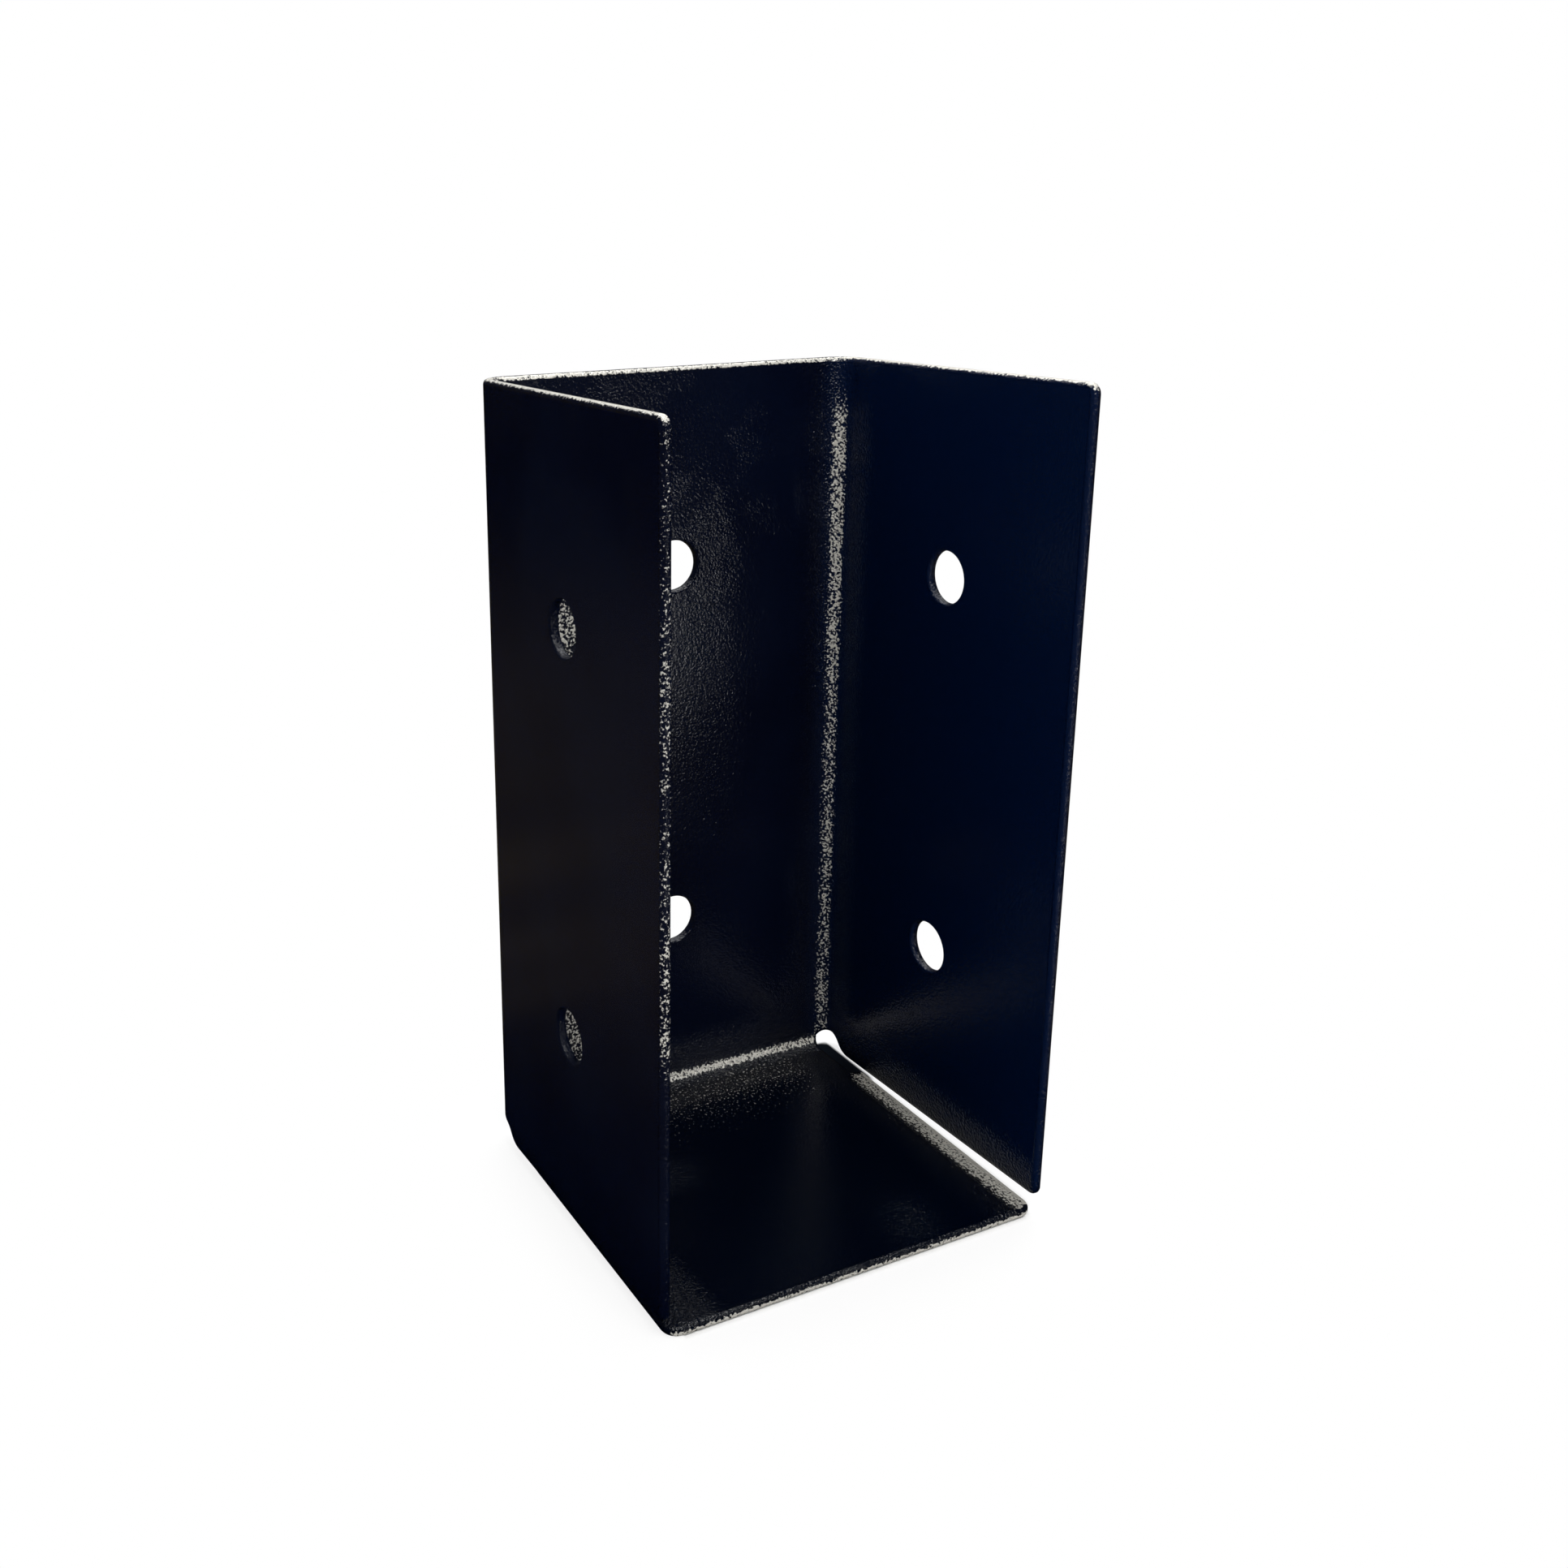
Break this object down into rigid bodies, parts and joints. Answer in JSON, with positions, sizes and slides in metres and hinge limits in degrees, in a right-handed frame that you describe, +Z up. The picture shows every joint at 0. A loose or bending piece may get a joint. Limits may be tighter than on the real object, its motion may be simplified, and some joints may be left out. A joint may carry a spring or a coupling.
{
  "type": "u bracket",
  "caption": "Folded steel U bracket with a back plate, two side flanges and a bottom shelf, drilled for screws, that carries the end of a timber.",
  "frame": {"origin": "centre of the bounding box's bottom, level with the underside of the shelf", "axes": "+Z up along the back plate, +Y out of the back face, -Y towards the open front, +X across to the right flange as seen from the front"},
  "size_m": [0.0484, 0.042, 0.092],
  "materials": {
    "black_coat": "semi-gloss black powder coat with a fine orange peel"
  },
  "bodies": {
    "root": {"u_bracket": "black_coat"}
  },
  "joints": []
}
